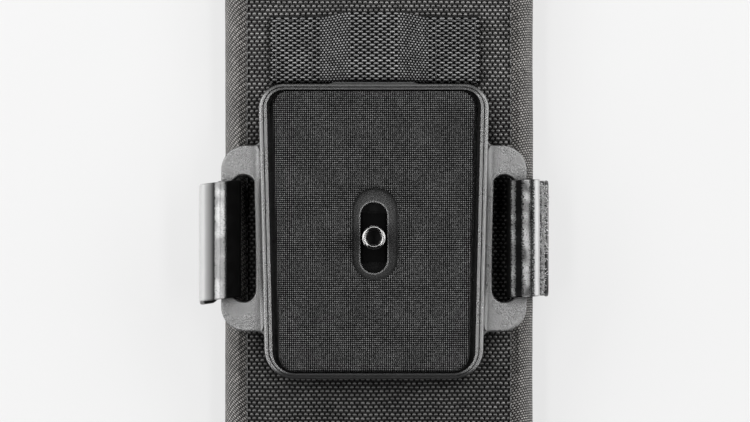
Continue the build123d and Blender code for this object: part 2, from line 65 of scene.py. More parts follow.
# ------------------------------------------------------------------ node helpers
class Graph:
    """Builds one material's nodes; a number, a tuple or another node's output can feed any input."""

    def __init__(self, name):
        self.mat = bpy.data.materials.new(name)
        self.mat.use_nodes = True
        self.tree = self.mat.node_tree
        self.bsdf = self.tree.nodes["Principled BSDF"]

    def feed(self, socket, value):
        if isinstance(value, bpy.types.NodeSocket):
            self.tree.links.new(value, socket)
        elif hasattr(socket.default_value, "__len__") and isinstance(value, (int, float)):
            socket.default_value = [value] * len(socket.default_value)
        else:
            socket.default_value = value

    def math(self, op, a, b=0.0, c=0.0):
        made = self.tree.nodes.new("ShaderNodeMath")
        made.operation = op
        for socket, value in zip(made.inputs, (a, b, c)):
            self.feed(socket, value)
        return made.outputs[0]

    def mix(self, factor, a, b, blend="MIX"):
        made = self.tree.nodes.new("ShaderNodeMix")
        made.data_type = "RGBA"
        made.blend_type = blend
        self.feed(made.inputs[0], factor)
        self.feed(made.inputs[6], a)
        self.feed(made.inputs[7], b)
        return made.outputs[2]

    def ramp(self, value, low, high, to_low=0.0, to_high=1.0):
        made = self.tree.nodes.new("ShaderNodeMapRange")
        made.interpolation_type = "SMOOTHSTEP"
        ends = {"Value": value, "From Min": low, "From Max": high, "To Min": to_low, "To Max": to_high}
        for key, v in ends.items():
            self.feed(made.inputs[key], v)
        return made.outputs[0]

    def coords(self, uv=False):
        """A vector in millimetres and its three parts: from the mesh's own map, or from object space."""
        if uv:
            vector = self.tree.nodes.new("ShaderNodeUVMap").outputs[0]
            scale = 1.0
        else:
            vector = self.tree.nodes.new("ShaderNodeTexCoord").outputs["Object"]
            scale = 1000.0
        scaled = self.tree.nodes.new("ShaderNodeVectorMath")
        scaled.operation = "SCALE"
        self.feed(scaled.inputs[0], vector)
        self.feed(scaled.inputs["Scale"], scale)
        parts = self.tree.nodes.new("ShaderNodeSeparateXYZ")
        self.feed(parts.inputs[0], scaled.outputs[0])
        return scaled.outputs[0], parts.outputs[0], parts.outputs[1], parts.outputs[2]

    def noise(self, vector, scale, detail=2.0, rough=0.5):
        made = self.tree.nodes.new("ShaderNodeTexNoise")
        self.feed(made.inputs["Vector"], vector)
        self.feed(made.inputs["Scale"], scale)
        self.feed(made.inputs["Detail"], detail)
        self.feed(made.inputs["Roughness"], rough)
        return made.outputs[0]

    def brick(self, u, v, period, pitch, stagger=0.5):
        """Staggered rows: (across, along) from each cell's middle in mm, and a random value per cell."""
        iv = self.math("DIVIDE", v, pitch)
        row = self.math("FLOOR", iv)
        shift = self.math("MULTIPLY", self.math("PINGPONG", row, 1.0), stagger)
        iu = self.math("ADD", self.math("DIVIDE", u, period), shift)
        du = self.math("MULTIPLY", self.math("SUBTRACT", self.math("FRACT", iu), 0.5), period)
        dv = self.math("MULTIPLY", self.math("SUBTRACT", self.math("FRACT", iv), 0.5), pitch)
        cell = self.tree.nodes.new("ShaderNodeCombineXYZ")
        self.feed(cell.inputs[0], self.math("FLOOR", iu))
        self.feed(cell.inputs[1], row)
        chance = self.tree.nodes.new("ShaderNodeTexWhiteNoise")
        chance.noise_dimensions = "3D"
        self.feed(chance.inputs["Vector"], cell.outputs[0])
        return du, dv, chance.outputs["Value"]

    def dome(self, du, dv, a, b):
        """A rounded oval, 1 in the middle and 0 from its edge outwards."""
        x, y = self.math("DIVIDE", du, a), self.math("DIVIDE", dv, b)
        squares = self.math("ADD", self.math("MULTIPLY", x, x), self.math("MULTIPLY", y, y))
        return self.math("SQRT", self.math("MAXIMUM", self.math("SUBTRACT", 1.0, squares), 0.0))

    def length(self, x, y):
        """The square root of x squared plus y squared."""
        return self.math("SQRT", self.math("ADD", self.math("MULTIPLY", x, x), self.math("MULTIPLY", y, y)))

    def colour(self, red, green, blue):
        made = self.tree.nodes.new("ShaderNodeCombineColor")
        for socket, value in zip(made.inputs, (red, green, blue)):
            self.feed(socket, value)
        return made.outputs[0]

    def fine_weave(self, u, v, pu, pv):
        """A plain weave of cell pu by pv as a height."""
        wu = self.math("ABSOLUTE", self.math("SINE", self.math("MULTIPLY", u, pi / pu)))
        wv = self.math("ABSOLUTE", self.math("SINE", self.math("MULTIPLY", v, pi / pv)))
        return self.math("MULTIPLY", wu, wv)

    def open_to_light(self, reach_mm, low, high):
        """Painted shade from ambient occlusion: 0 deep in a recess, where light doesn't reach, to 1 out in the
        open.
        """
        made = self.tree.nodes.new("ShaderNodeAmbientOcclusion")
        made.samples = 6
        self.feed(made.inputs["Distance"], reach_mm * MM)
        return self.ramp(made.outputs["AO"], low, high)

    def bump(self, height, mm):
        made = self.tree.nodes.new("ShaderNodeBump")
        self.feed(made.inputs["Height"], height)
        self.feed(made.inputs["Distance"], mm * MM)
        self.feed(made.inputs["Strength"], 1.0)
        self.tree.links.new(made.outputs[0], self.bsdf.inputs["Normal"])

    def finish(self, color, rough=0.8, **sockets):
        self.feed(self.bsdf.inputs["Base Color"], color)
        self.feed(self.bsdf.inputs["Roughness"], rough)
        for key, value in sockets.items():
            self.feed(self.bsdf.inputs[key.replace("_", " ")], value)
        return self.mat


def grey(v, warm=0.0):
    return (v * (1 + warm), v, v * (1 - warm), 1)


# ------------------------------------------------------------------ materials
def woven(name, period, pitch, yarn, hole, tones, bump_mm, arch=0.25, wobble=0.08, rough=0.5, sheen=0.0,
          warm=0.0, spec=0.5, skew=0.0, stipple=0.2, spread=0.3, recess_mm=0.0, stagger=0.5, shadow_ramp=None):
    """Staggered weave: light oval floats (yarn), dark ovals between them (hole), darker ground.

    tones are the floats', the ground's and the holes'; the last argument, (from, to, low, high) along the
    cloth, paints a shadow by darkening the tones.
    """
    g = Graph(name)
    vector, u, v, _ = g.coords(True)
    broad = g.noise(vector, 0.12, 2.0)
    uneven = g.noise(vector, 0.9, 2.0)
    fine = g.noise(vector, 5.0, 3.0, 0.7)
    shift = g.math("MULTIPLY", g.math("SUBTRACT", uneven, 0.5), wobble * 2)
    v = g.math("ADD", v, g.math("ADD", shift, g.math("MULTIPLY", g.math("SUBTRACT", broad, 0.5), wobble * 5)))
    if skew:
        v = g.math("ADD", v, g.math("MULTIPLY", u, skew))
    u = g.math("ADD", u, shift)
    du, dv, chance = g.brick(u, v, period, pitch, stagger)
    bent = g.math("ADD", dv, g.math("MULTIPLY", g.math("MULTIPLY", du, du), arch))
    over = g.dome(du, bent, *yarn)
    away = g.math("SUBTRACT", period / 2, g.math("ABSOLUTE", du))
    under = g.dome(away, dv, *hole)
    light, ground, dark = tones
    tone = g.math("MULTIPLY_ADD", g.math("SUBTRACT", chance, 0.5), spread * 2, 1.0)
    tone = g.math("MULTIPLY", tone, g.ramp(fine, 0.25, 0.75, 1 - stipple, 1 + stipple))
    tone = g.math("MULTIPLY", tone, g.ramp(broad, 0.3, 0.7, 0.85, 1.15))
    # painted shadow: the tones darken over a span along the cloth
    if shadow_ramp:
        tone = g.math("MULTIPLY", tone, g.ramp(v, *shadow_ramp))
    base = g.mix(g.ramp(under, 0.0, 0.7), grey(ground, warm), grey(dark, warm))
    base = g.mix(g.ramp(over, 0.1, 0.7), base, grey(light, warm))
    base = g.mix(1.0, base, g.colour(tone, tone, tone), "MULTIPLY")
    height = g.math("MAXIMUM", over, g.math("MULTIPLY", under, 0.6))
    height = g.math("ADD", height, g.math("MULTIPLY", fine, 0.35))
    g.bump(height, bump_mm)
    gloss = g.ramp(over, 0.0, 0.6, min(1.0, rough + 0.3), rough)
    shine = g.ramp(over, 0.0, 0.7, 0.02, spec)
    # painted shade: in recesses the cloth darkens towards grey(dark * 0.5) and loses its shine
    if recess_mm:
        unshaded = g.open_to_light(recess_mm, 0.25, 0.85)
        base = g.mix(unshaded, grey(dark * 0.5), base)
        shine = g.math("MULTIPLY", shine, unshaded)
    return g.finish(base, gloss, Sheen_Weight=sheen, Sheen_Roughness=0.5, Specular_IOR_Level=shine)


# the front panel darkens towards its lower end, a painted shadow below the plate
MAT_BODY = woven("ballistic_nylon", 1.455, 1.045, (0.55, 0.27), (0.3, 0.5), (0.10, 0.016, 0.002), 0.3,
                 arch=0.4, wobble=0.11, warm=0.02, spec=0.3, recess_mm=7.0, shadow_ramp=(-46.0, -20.0, 0.7, 1.0))
# partly painted light: the side cloth is toned lighter than the front for the light its rounded sides catch
MAT_SIDE = woven("ballistic_nylon_side", 0.96, 0.68, (0.37, 0.21), (0.23, 0.31), (0.128, 0.022, 0.004), 0.24,
                 warm=0.05, sheen=0.12, skew=0.22, spec=0.4, recess_mm=7.0)
MAT_WEB = woven("webbing_weave", 2.14, 0.70, (0.72, 0.21), (0.52, 0.46), (0.12, 0.016, 0.0008), 0.25,
                arch=0.12, wobble=0.05, spec=0.3, recess_mm=4.0)
MAT_PAD = woven("pad_weave", 0.56, 0.52, (0.17, 0.16), (0.1, 0.1), (0.067, 0.001, 0.0005), 0.05,
                arch=0.0, wobble=0.012, spread=0.38, stipple=0.25, spec=0.08, stagger=0.08)
MAT_MESH = woven("spacer_mesh", 2.6, 1.3, (0.8, 0.4), (0.6, 0.5), (0.02, 0.012, 0.001), 0.5, spec=0.2)
MAT_BIND = woven("edge_binding", 1.0, 0.6, (0.42, 0.22), (0.2, 0.3), (0.03, 0.008, 0.002), 0.15, spec=0.3)


SLOT_R, SLOT_HALF = 3.62, 9.5  # the screw slot's end radius, and half its whole length
TRAY_EDGE, TRAY_TOP = 25.0, 25.6  # the tray lies inside this far from the middle, and below this height


def plate_painted_shade(g, x, y, z):
    """Painted shade on the frame: the tray is darker and duller than the outside, a little less towards +y, a
    painted highlight lines the slot's edge, and the rim's ends are darkened, the lower end most.
    """
    beyond = g.math("MAXIMUM", g.math("SUBTRACT", g.math("ABSOLUTE", y), SLOT_HALF - SLOT_R), 0.0)
    from_slot = g.math("SUBTRACT", g.length(x, beyond), SLOT_R)
    across = g.ramp(g.math("ABSOLUTE", x), TRAY_EDGE + 1.0, TRAY_EDGE)
    in_tray = g.math("MULTIPLY", across, g.ramp(z, TRAY_TOP + 0.6, TRAY_TOP))
    edge = g.math("MULTIPLY", g.ramp(from_slot, 0.55, 0.1, 0.0, 0.9), g.ramp(from_slot, -0.3, 0.0))
    tray = g.math("MAXIMUM", edge, g.ramp(y, -9.0, 9.0, 0.1, 0.2))
    ends = g.math("MULTIPLY", g.ramp(y, -36.4, -34.4, 0.06, 1.0), g.ramp(y, 39.6, 37.8, 0.3, 1.0))
    outside = g.math("MULTIPLY", g.math("SUBTRACT", 1.0, in_tray), ends)
    return g.math("ADD", g.math("MULTIPLY", in_tray, tray), outside)


def moulded(name, color, rough, grain_mm, warm=0.0, spec=0.5, recess_mm=0.0, plate=False):
    g = Graph(name)
    vector, x, y, z = g.coords()
    grain = g.noise(vector, 1.7, 4.0, 0.75)
    patch = g.noise(vector, 0.12, 2.0)
    tone = g.ramp(patch, 0.3, 0.7, color * 0.88, color * 1.12)
    tone = g.math("MULTIPLY", tone, g.ramp(grain, 0.25, 0.8, 0.82, 1.2))
    shade = g.colour(*(g.math("MULTIPLY", tone, k) for k in (1 + warm, 1, 1 - warm)))
    g.bump(grain, grain_mm)
    roughness = g.ramp(patch, 0.2, 0.8, rough - 0.06, rough + 0.06)
    # painted shade: recesses, and on the plate the tray and the rim's ends, darken towards grey(color * 0.4)
    # and lose their shine; a painted highlight lines the slot's edge
    if recess_mm:
        unshaded = g.open_to_light(recess_mm, 0.4, 1.0)
        if plate:
            unshaded = g.math("MULTIPLY", unshaded, plate_painted_shade(g, x, y, z))
        base = g.mix(unshaded, grey(color * 0.4), shade)
        return g.finish(base, roughness, Specular_IOR_Level=g.math("MULTIPLY", unshaded, spec))
    return g.finish(shade, roughness, Specular_IOR_Level=spec)


MAT_FRAME = moulded("frame_plastic", 0.03, 0.27, 0.16, warm=0.01, spec=0.95, recess_mm=4.0, plate=True)
# the back cover and slide block are near lightless black, painted shade for the inside of the slot they lie
# behind
MAT_COVER = moulded("cover_plastic", 0.004, 0.6, 0.04, spec=0.1)
MAT_RUBBER = moulded("pad_rubber", 0.012, 0.75, 0.03)
MAT_BLOCK = moulded("block_plastic", 0.0006, 0.5, 0.02, spec=0.02)


def metal(name, color, rough, streak_mm=0.01, socket_z=None):
    """Turned steel; below socket_z, the screw's socket is painted darker, as shade in the recess, and rougher.
    """
    g = Graph(name)
    vector, x, y, z = g.coords()
    ring = g.length(x, y)
    lathe = g.tree.nodes.new("ShaderNodeCombineXYZ")
    g.feed(lathe.inputs[0], ring)
    g.feed(lathe.inputs[2], z)
    streaks = g.noise(lathe.outputs[0], 9.0, 2.0)
    smudge = g.noise(vector, 0.5, 2.0)
    g.bump(streaks, streak_mm)
    if socket_z:
        inside = g.math("MULTIPLY", g.ramp(ring, 2.1, 2.0), g.ramp(z, socket_z, socket_z - 0.15))
        shade = g.mix(inside, grey(color, 0.01), grey(0.02))
        return g.finish(shade, g.mix(inside, grey(rough), grey(0.55)), Metallic=1.0)
    return g.finish(grey(color, 0.01), g.ramp(smudge, 0.3, 0.7, rough * 0.8, rough * 1.25), Metallic=1.0)


PLATE_Z = 18.3  # the underside of the moulded frame
STUD_TOP = PLATE_Z + 13.4
MAT_STUD = metal("stud_steel", 0.15, 0.12, 0.004, STUD_TOP - 0.3)
MAT_CLIP = metal("clip_steel", 0.45, 0.3)
MAT_BLACK_STEEL = metal("screw_steel", 0.06, 0.35)


def glossy_strap(name, length=1.0, zones=((0.0, 0.9, 0.3, 0.4, 0.02),)):
    """Calendered strap: fine ribs under a shiny, crushed surface.

    zones are (distance along, shine, roughness, crush, tone); tone paints highlights and shade along the strap,
    and low shine paints its shaded parts black.
    """
    g = Graph(name)
    vector, u, v, _ = g.coords(True)

    def finish_and_painted_light_at(distance):
        where = g.tree.nodes.new("ShaderNodeValToRGB")
        stops = where.color_ramp.elements
        while len(stops) > 1:
            stops.remove(stops[-1])
        for i, (s, *look) in enumerate(zones):
            stop = stops[0] if i == 0 else stops.new(s / length)
            stop.position, stop.color = s / length, look
        g.feed(where.inputs[0], g.math("DIVIDE", distance, length))
        split = g.tree.nodes.new("ShaderNodeSeparateColor")
        g.feed(split.inputs[0], where.outputs[0])
        return (*split.outputs[:3], where.outputs[1])

    # crushed places have ragged edges and come in patches
    ragged = g.math("SUBTRACT", g.noise(vector, 2.5, 3.0, 0.6), 0.5)
    smear = g.math("MULTIPLY", g.math("MULTIPLY", ragged, 4.6), finish_and_painted_light_at(v)[2])
    shine, rough, crush, tone = finish_and_painted_light_at(g.math("ADD", v, smear))
    patch = g.ramp(g.noise(vector, 0.22, 1.0, 0.5), 0.38, 0.62, 0.18, 1.0)
    patch = g.math("MULTIPLY", patch, g.ramp(ragged, -0.2, 0.05, 0.4, 1.0))
    kept = g.math("ADD", g.math("MULTIPLY", patch, crush), g.math("SUBTRACT", 1.0, crush))
    weave = g.fine_weave(u, v, 0.5, 0.42)
    dents = g.noise(vector, 3.4, 3.0, 0.6)
    g.bump(g.math("ADD", g.math("MULTIPLY", weave, 0.1), g.math("MULTIPLY", dents, crush)), 0.06)
    # the zones' tone paints the highlights and shade of the strap's bends
    level = g.math("MULTIPLY", tone, kept)
    base = g.colour(level, level, level)
    # painted shade from ambient occlusion, with the crushed patches, dims the shine
    unshaded = g.math("MULTIPLY", g.open_to_light(3.0, 0.3, 0.8), kept)
    return g.finish(base, rough, Specular_IOR_Level=g.math("MULTIPLY", unshaded, shine))


def pile(name, color):
    g = Graph(name)
    vector = g.coords()[0]
    curls = g.noise(vector, 2.6, 4.0, 0.7)
    base = g.mix(g.ramp(curls, 0.35, 0.65), grey(color * 0.2), grey(color * 1.8))
    g.bump(curls, 0.5)
    return g.finish(base, 0.6, Sheen_Weight=0.3)


MAT_STRAP = glossy_strap("strap_nylon")
MAT_PILE = pile("hook_pile", 0.015)
MAT_THREAD = moulded("thread", 0.02, 0.6, 0.03)
MAT_THREAD_LIGHT = moulded("thread_light", 0.05, 0.5, 0.03)
# painted light: the strands are pale grey, though the loop pile they stand for is near black, so they show lit
# in the strap's shade
MAT_FUZZ = moulded("fuzz", 0.42, 0.4, 0.02)


def paint(node, material):
    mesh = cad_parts[node].data
    mesh.materials.clear()
    mesh.materials.append(material)


for node, material in {
    "mount_frame": MAT_FRAME, "back_cover": MAT_COVER, "cover_screws": MAT_BLACK_STEEL,
    "backing_pad": MAT_RUBBER, "face_rubber": MAT_RUBBER, "slide_block": MAT_BLOCK,
    "camera_screw": MAT_STUD, "spring_washer": MAT_CLIP, "foam_core": MAT_RUBBER,
    "front_panel": MAT_BODY, "back_panel": MAT_MESH, "side_wrap_left": MAT_SIDE, "side_wrap_right": MAT_SIDE,
    "end_cap_top": MAT_BIND, "end_cap_bottom": MAT_BIND, "panel_seams": MAT_THREAD, "webbing_loop": MAT_WEB,
    "loop_stitching": MAT_THREAD, "face_cloth": MAT_PAD, "strap_band": MAT_STRAP, "strap_tab": MAT_STRAP,
    "hook_tape": MAT_PILE, "loop_tape": MAT_PILE, "strap_stitching": MAT_THREAD, "strap_tail": MAT_STRAP,
    "tail_loop_tape": MAT_PILE,
}.items():
    paint(node, material)


# ------------------------------------------------------------------ mesh helpers
def new_object(name, verts, faces, material, uvs=None):
    """A smooth-shaded mesh from points in mm; uvs gives one (u, v) for each face corner, in mm."""
    mesh = bpy.data.meshes.new(name)
    mesh.from_pydata([(x * MM, y * MM, z * MM) for x, y, z in verts], [], faces)
    mesh.materials.append(material)
    if uvs is not None:
        layer = mesh.uv_layers.new(name="cloth_mm")
        for loop, uv in zip(layer.data, uvs):
            loop.uv = uv
    mesh.polygons.foreach_set("use_smooth", [True] * len(mesh.polygons))
    made = bpy.data.objects.new(name, mesh)
    bpy.context.scene.collection.objects.link(made)
    return made


def settle(piece, body, slot, *nodes):
    """Attaches a piece to the body it rides on and hides the CAD nodes it stands for; slot is not used."""
    if nodes:
        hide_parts(*nodes)
    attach(piece, body)


# ------------------------------------------------------------------ padded section
PAD_X, PAD_T = 1.35, 16.0  # its centre line, and its thickness
SEAM_X = 35.3  # side seams, each side of the centre line
SIDE_R = 6.35  # how far the rounded sides stand out past the seams
INNER_L = 77.0  # half its length, without the bound ends
STRAP_DEPTH, TAPE_DEPTH, TAPE_X = 1.62, 4.75, 14.0  # the strap's channel, deeper where the tapes lie
STRAP_Y, STRAP_W, STRAP_T, PILE_T = -0.3, 31.3, 1.1, 0.7


def smooth(t):
    t = min(1.0, max(0.0, t))
    return t * t * (3 - 2 * t)


def hump(value, centre, width):
    return exp(-(((value - centre) / width) ** 2))


def section_loop():
    """The padded section's outline: (x from the centre line, z, distance round it, zone)."""
    points = []
    front = [-SEAM_X, -SEAM_X + 0.5, -SEAM_X + 1.2, -SEAM_X + 2.4]
    steps, turns = 34, 18
    half = SEAM_X - 2.4
    front += [-half + 2 * half * k / steps for k in range(1, steps)]
    front += [SEAM_X - 2.4, SEAM_X - 1.2, SEAM_X - 0.5]
    for x in front:
        points.append((x, PAD_T, x, "front"))
    arc, last = SEAM_X, None
    for k in range(turns + 1):
        a = pi / 2 - pi * k / turns
        x, z = SEAM_X + SIDE_R * cos(a), PAD_T / 2 + PAD_T / 2 * sin(a)
        if last:
            arc += hypot(x - last[0], z - last[1])
        last = (x, z)
        points.append((x, z, arc, "right"))
    back_start = arc
    for x in reversed(front[1:]):
        points.append((x, 0.0, back_start + SEAM_X - x, "back"))
    arc, last = back_start + 2 * SEAM_X, None
    for k in range(turns + 1):
        a = -pi / 2 - pi * k / turns
        x, z = -SEAM_X + SIDE_R * cos(a), PAD_T / 2 + PAD_T / 2 * sin(a)
        if last:
            arc += hypot(x - last[0], z - last[1])
        last = (x, z)
        if k < turns:
            points.append((x, z, arc, "left"))
    return points, arc


def side_depth(x):
    return max(0.0, abs(x) - SEAM_X)


def sculpt(x, y, z):
    """Moves one point of the padded section: strap channel, pressed front, seam ditches, soft edges."""
    reach = abs(x)
    front, back = z > PAD_T - 0.9 and reach < SEAM_X + 2, z < PAD_T / 2
    ditch = 0.42 * hump(reach, SEAM_X + 0.15, 0.55)
    ripple = noise.noise(Vector((x * 0.05, y * 0.045, z * 0.05))) * 0.30
    ripple += noise.noise(Vector((x * 0.16, y * 0.13, z * 0.16 + 7))) * 0.12
    away = smooth((abs(y - 1.6) - 40) / 6.0) if reach < 31 else 1.0
    if front:
        z -= 0.12 + ditch + 0.5 * smooth((reach - 30.5) / 5.0)
        z += ripple * away * 0.5 - 0.12 * away * 0.5
    elif z > PAD_T / 2:
        scale = 1 - (ditch * 0.6) / 10
        x, z = x * (1 - ditch * 0.004), PAD_T / 2 + (z - PAD_T / 2) * scale
    if reach > SEAM_X:
        # puckers gather along the side seams
        pucker = 0.10 * sin(y * 1.05 + 0.6 * sin(y * 0.31)) * hump(reach, SEAM_X + 1.6, 1.5)
        x += (0.22 * ripple / 0.3 * 0.8 + pucker) * (1 if x > 0 else -1) * (1 if z > 3 else 0.3)
    if back:
        deep = STRAP_DEPTH + (TAPE_DEPTH - STRAP_DEPTH) * smooth((x + PAD_X - TAPE_X) / 3.0)
        across = 1 - smooth((abs(y - STRAP_Y) - 16.4) / 2.2)
        floor_z = deep * across
        if z < floor_z:
            z = floor_z + (z * 0.04)
        elif across < 1 and reach < SEAM_X:
            z = max(z, 0.02)
        z = max(z, 0.0)
    return x, y, z


def build_padded():
    loop, total = section_loop()
    n = len(loop)
    rows = 104
    verts, faces, uvs, zones = [], [], [], []
    for r in range(rows + 1):
        y = -INNER_L + 2 * INNER_L * r / rows
        for x, z, arc, zone in loop:
            verts.append((x, y, z))
    for r in range(rows):
        y0, y1 = -INNER_L + 2 * INNER_L * r / rows, -INNER_L + 2 * INNER_L * (r + 1) / rows
        for k in range(n):
            a, b = r * n + k, r * n + (k + 1) % n
            faces.append((a, b, b + n, a + n))
            x0, _, s0, zone = loop[k]
            x1, _, s1, _ = loop[(k + 1) % n]
            if k == n - 1:
                s1 = total
            d0, d1 = side_depth(x0) * 0.5, side_depth(x1) * 0.5
            uvs += [(s0, y0 - d0), (s1, y0 - d1), (s1, y1 - d1), (s0, y1 - d0)]
            zones.append({"front": 0, "right": 1, "back": 2, "left": 1}[zone])
    faces.append(tuple(reversed(range(n))))
    faces.append(tuple(rows * n + k for k in range(n)))
    uvs += [(0, 0)] * (2 * n)
    zones += [1, 1]
    made = new_object("padded_section", verts, faces, MAT_BODY, uvs)
    made.data.materials.append(MAT_SIDE)
    made.data.materials.append(MAT_MESH)
    for polygon, zone in zip(made.data.polygons, zones):
        polygon.material_index = zone
    return made


def swell(piece, keep_out, pressure, cap_mm):
    """Inflates a closed cloth form a little, as stuffing does, and caps how far any point moves."""
    before = [v.co.copy() for v in piece.data.vertices]
    group = piece.vertex_groups.new(name="pinned")
    for v in piece.data.vertices:
        group.add([v.index], keep_out(v.co), "REPLACE")
    cloth = piece.modifiers.new("cloth", "CLOTH")
    cloth.settings.quality = 5
    cloth.settings.mass = 0.3
    cloth.settings.tension_stiffness = 12
    cloth.settings.compression_stiffness = 12
    cloth.settings.shear_stiffness = 4
    cloth.settings.bending_stiffness = 0.4
    cloth.settings.use_pressure = True
    cloth.settings.uniform_pressure_force = pressure
    cloth.settings.effector_weights.gravity = 0
    cloth.settings.vertex_group_mass = "pinned"
    cloth.point_cache.frame_start, cloth.point_cache.frame_end = 1, 20
    scene = bpy.context.scene
    for f in range(1, 21):
        scene.frame_set(f)
    dg = bpy.context.evaluated_depsgraph_get()
    swollen = piece.evaluated_get(dg).to_mesh()
    after = [v.co.copy() for v in swollen.vertices]
    piece.modifiers.clear()
    piece.vertex_groups.clear()
    scene.frame_set(1)
    limit = cap_mm * MM
    for v, old, new in zip(piece.data.vertices, before, after):
        move = new - old
        if move.length > limit:
            move *= limit / move.length
        v.co = old + move


padded = build_padded()
# the swelling shows on the open sides and front; the ends, the back and what the plate covers stay put
swell(
    padded,
    lambda co: 1.0 if abs(co.y) > 0.0755 or co.z < 0.002 or (abs(co.x) < 0.031 and abs(co.y) < 0.062) else 0.0,
    1.5, 0.6,
)
detail = padded.modifiers.new("detail", "SUBSURF")
detail.levels = detail.render_levels = 1
detail.subdivision_type = "CATMULL_CLARK"
dg = bpy.context.evaluated_depsgraph_get()
fine = bpy.data.meshes.new_from_object(padded.evaluated_get(dg))
padded.modifiers.clear()
padded.data = fine
for v in padded.data.vertices:
    x, y, z = sculpt(v.co.x / MM, v.co.y / MM, v.co.z / MM)
    v.co = ((min(max(x, -SEAM_X - SIDE_R - 0.25), SEAM_X + SIDE_R + 0.05) + PAD_X) * MM, y * MM, z * MM)
settle(padded, "body", "ballistic_nylon",
       "foam_core", "front_panel", "back_panel", "side_wrap_left", "side_wrap_right")


def build_end(sign, node):
    """A bound end: the section's outline rolled over a tape, with a flat woven face."""
    loop, total = section_loop()
    n = len(loop)
    # (outwards along the section, inwards from its outline)
    profile = [(0.0, 0.35), (0.25, 0.05), (0.9, -0.02), (1.5, 0.1),
               (2.1, 0.45), (2.6, 1.05), (2.85, 1.9), (2.9, 3.2)]
    verts, faces, uvs = [], [], []
    for along, inset in profile:
        for x, z, arc, zone in loop:
            nx, nz = 0.0, 0.0
            if zone == "front":
                nz = 1.0
            elif zone == "back":
                nz = -1.0
            else:
                cx = SEAM_X if zone == "right" else -SEAM_X
                nx, nz = (x - cx) / SIDE_R**2, (z - PAD_T / 2) / (PAD_T / 2) ** 2
                size = hypot(nx, nz)
                nx, nz = nx / size, nz / size
            pull = inset + 0.04 * sin(arc * 1.9)
            verts.append((x - nx * pull + PAD_X, sign * (INNER_L + 0.02 + along), z - nz * pull))
    rows = len(profile)
    run = 0.0
    for r in range(rows - 1):
        nxt = run + hypot(profile[r + 1][0] - profile[r][0], profile[r + 1][1] - profile[r][1])
        for k in range(n):
            a, b = r * n + k, r * n + (k + 1) % n
            quad = [a, b, b + n, a + n]
            s0, s1 = loop[k][2], loop[k + 1][2] if k < n - 1 else total
            corner = [(s0, run), (s1, run), (s1, nxt), (s0, nxt)]
            if sign < 0:
                quad, corner = quad[::-1], corner[::-1]
            faces.append(tuple(quad))
            uvs += corner
        run = nxt
    cap = [(rows - 1) * n + k for k in range(n)][::sign]
    faces.append(tuple(cap))
    uvs += [(verts[i][0], verts[i][2]) for i in cap]
    faces.append(tuple(list(range(n))[::-sign]))
    uvs += [(0, 0)] * n
    made = new_object(node + "_bound", verts, faces, MAT_BIND, uvs)
    settle(made, "body", "edge_binding", node)


build_end(1, "end_cap_top")
build_end(-1, "end_cap_bottom")


# ------------------------------------------------------------------ straps and webbing
def rounded_path(corners, radii, step=0.3):
    """Points along straight runs joined by tangent arcs: (x, z, distance)."""
    if isinstance(radii, (int, float)):
        radii = [radii] * (len(corners) - 2)
    raw = [corners[0]]
    for i in range(1, len(corners) - 1):
        p, c, q = (Vector(corners[i - 1]), Vector(corners[i]), Vector(corners[i + 1]))
        u, w = (p - c).normalized(), (q - c).normalized()
        half = u.angle(w) / 2
        reach = radii[i - 1] / tan(half)
        start, end = c + u * reach, c + w * reach
        centre = c + (u + w).normalized() * (radii[i - 1] / sin(half))
        a0 = atan2(start.y - centre.y, start.x - centre.x)
        a1 = atan2(end.y - centre.y, end.x - centre.x)
        turn = (a1 - a0 + pi) % (2 * pi) - pi
        count = max(5, int(abs(turn) * radii[i - 1] / step))
        for k in range(count + 1):
            a = a0 + turn * k / count
            raw.append((centre.x + radii[i - 1] * cos(a), centre.y + radii[i - 1] * sin(a)))
    raw.append(corners[-1])
    points, run = [(raw[0][0], raw[0][1], 0.0)], 0.0
    for a, b in zip(raw, raw[1:]):
        gap = hypot(b[0] - a[0], b[1] - a[1])
        if gap < 1e-4:
            continue
        parts = max(1, int(gap / (step * 2)))
        for k in range(1, parts + 1):
            t = k / parts
            points.append((a[0] + (b[0] - a[0]) * t, a[1] + (b[1] - a[1]) * t, run + gap * t))
        run += gap
    return points


EDGE_R = 0.35


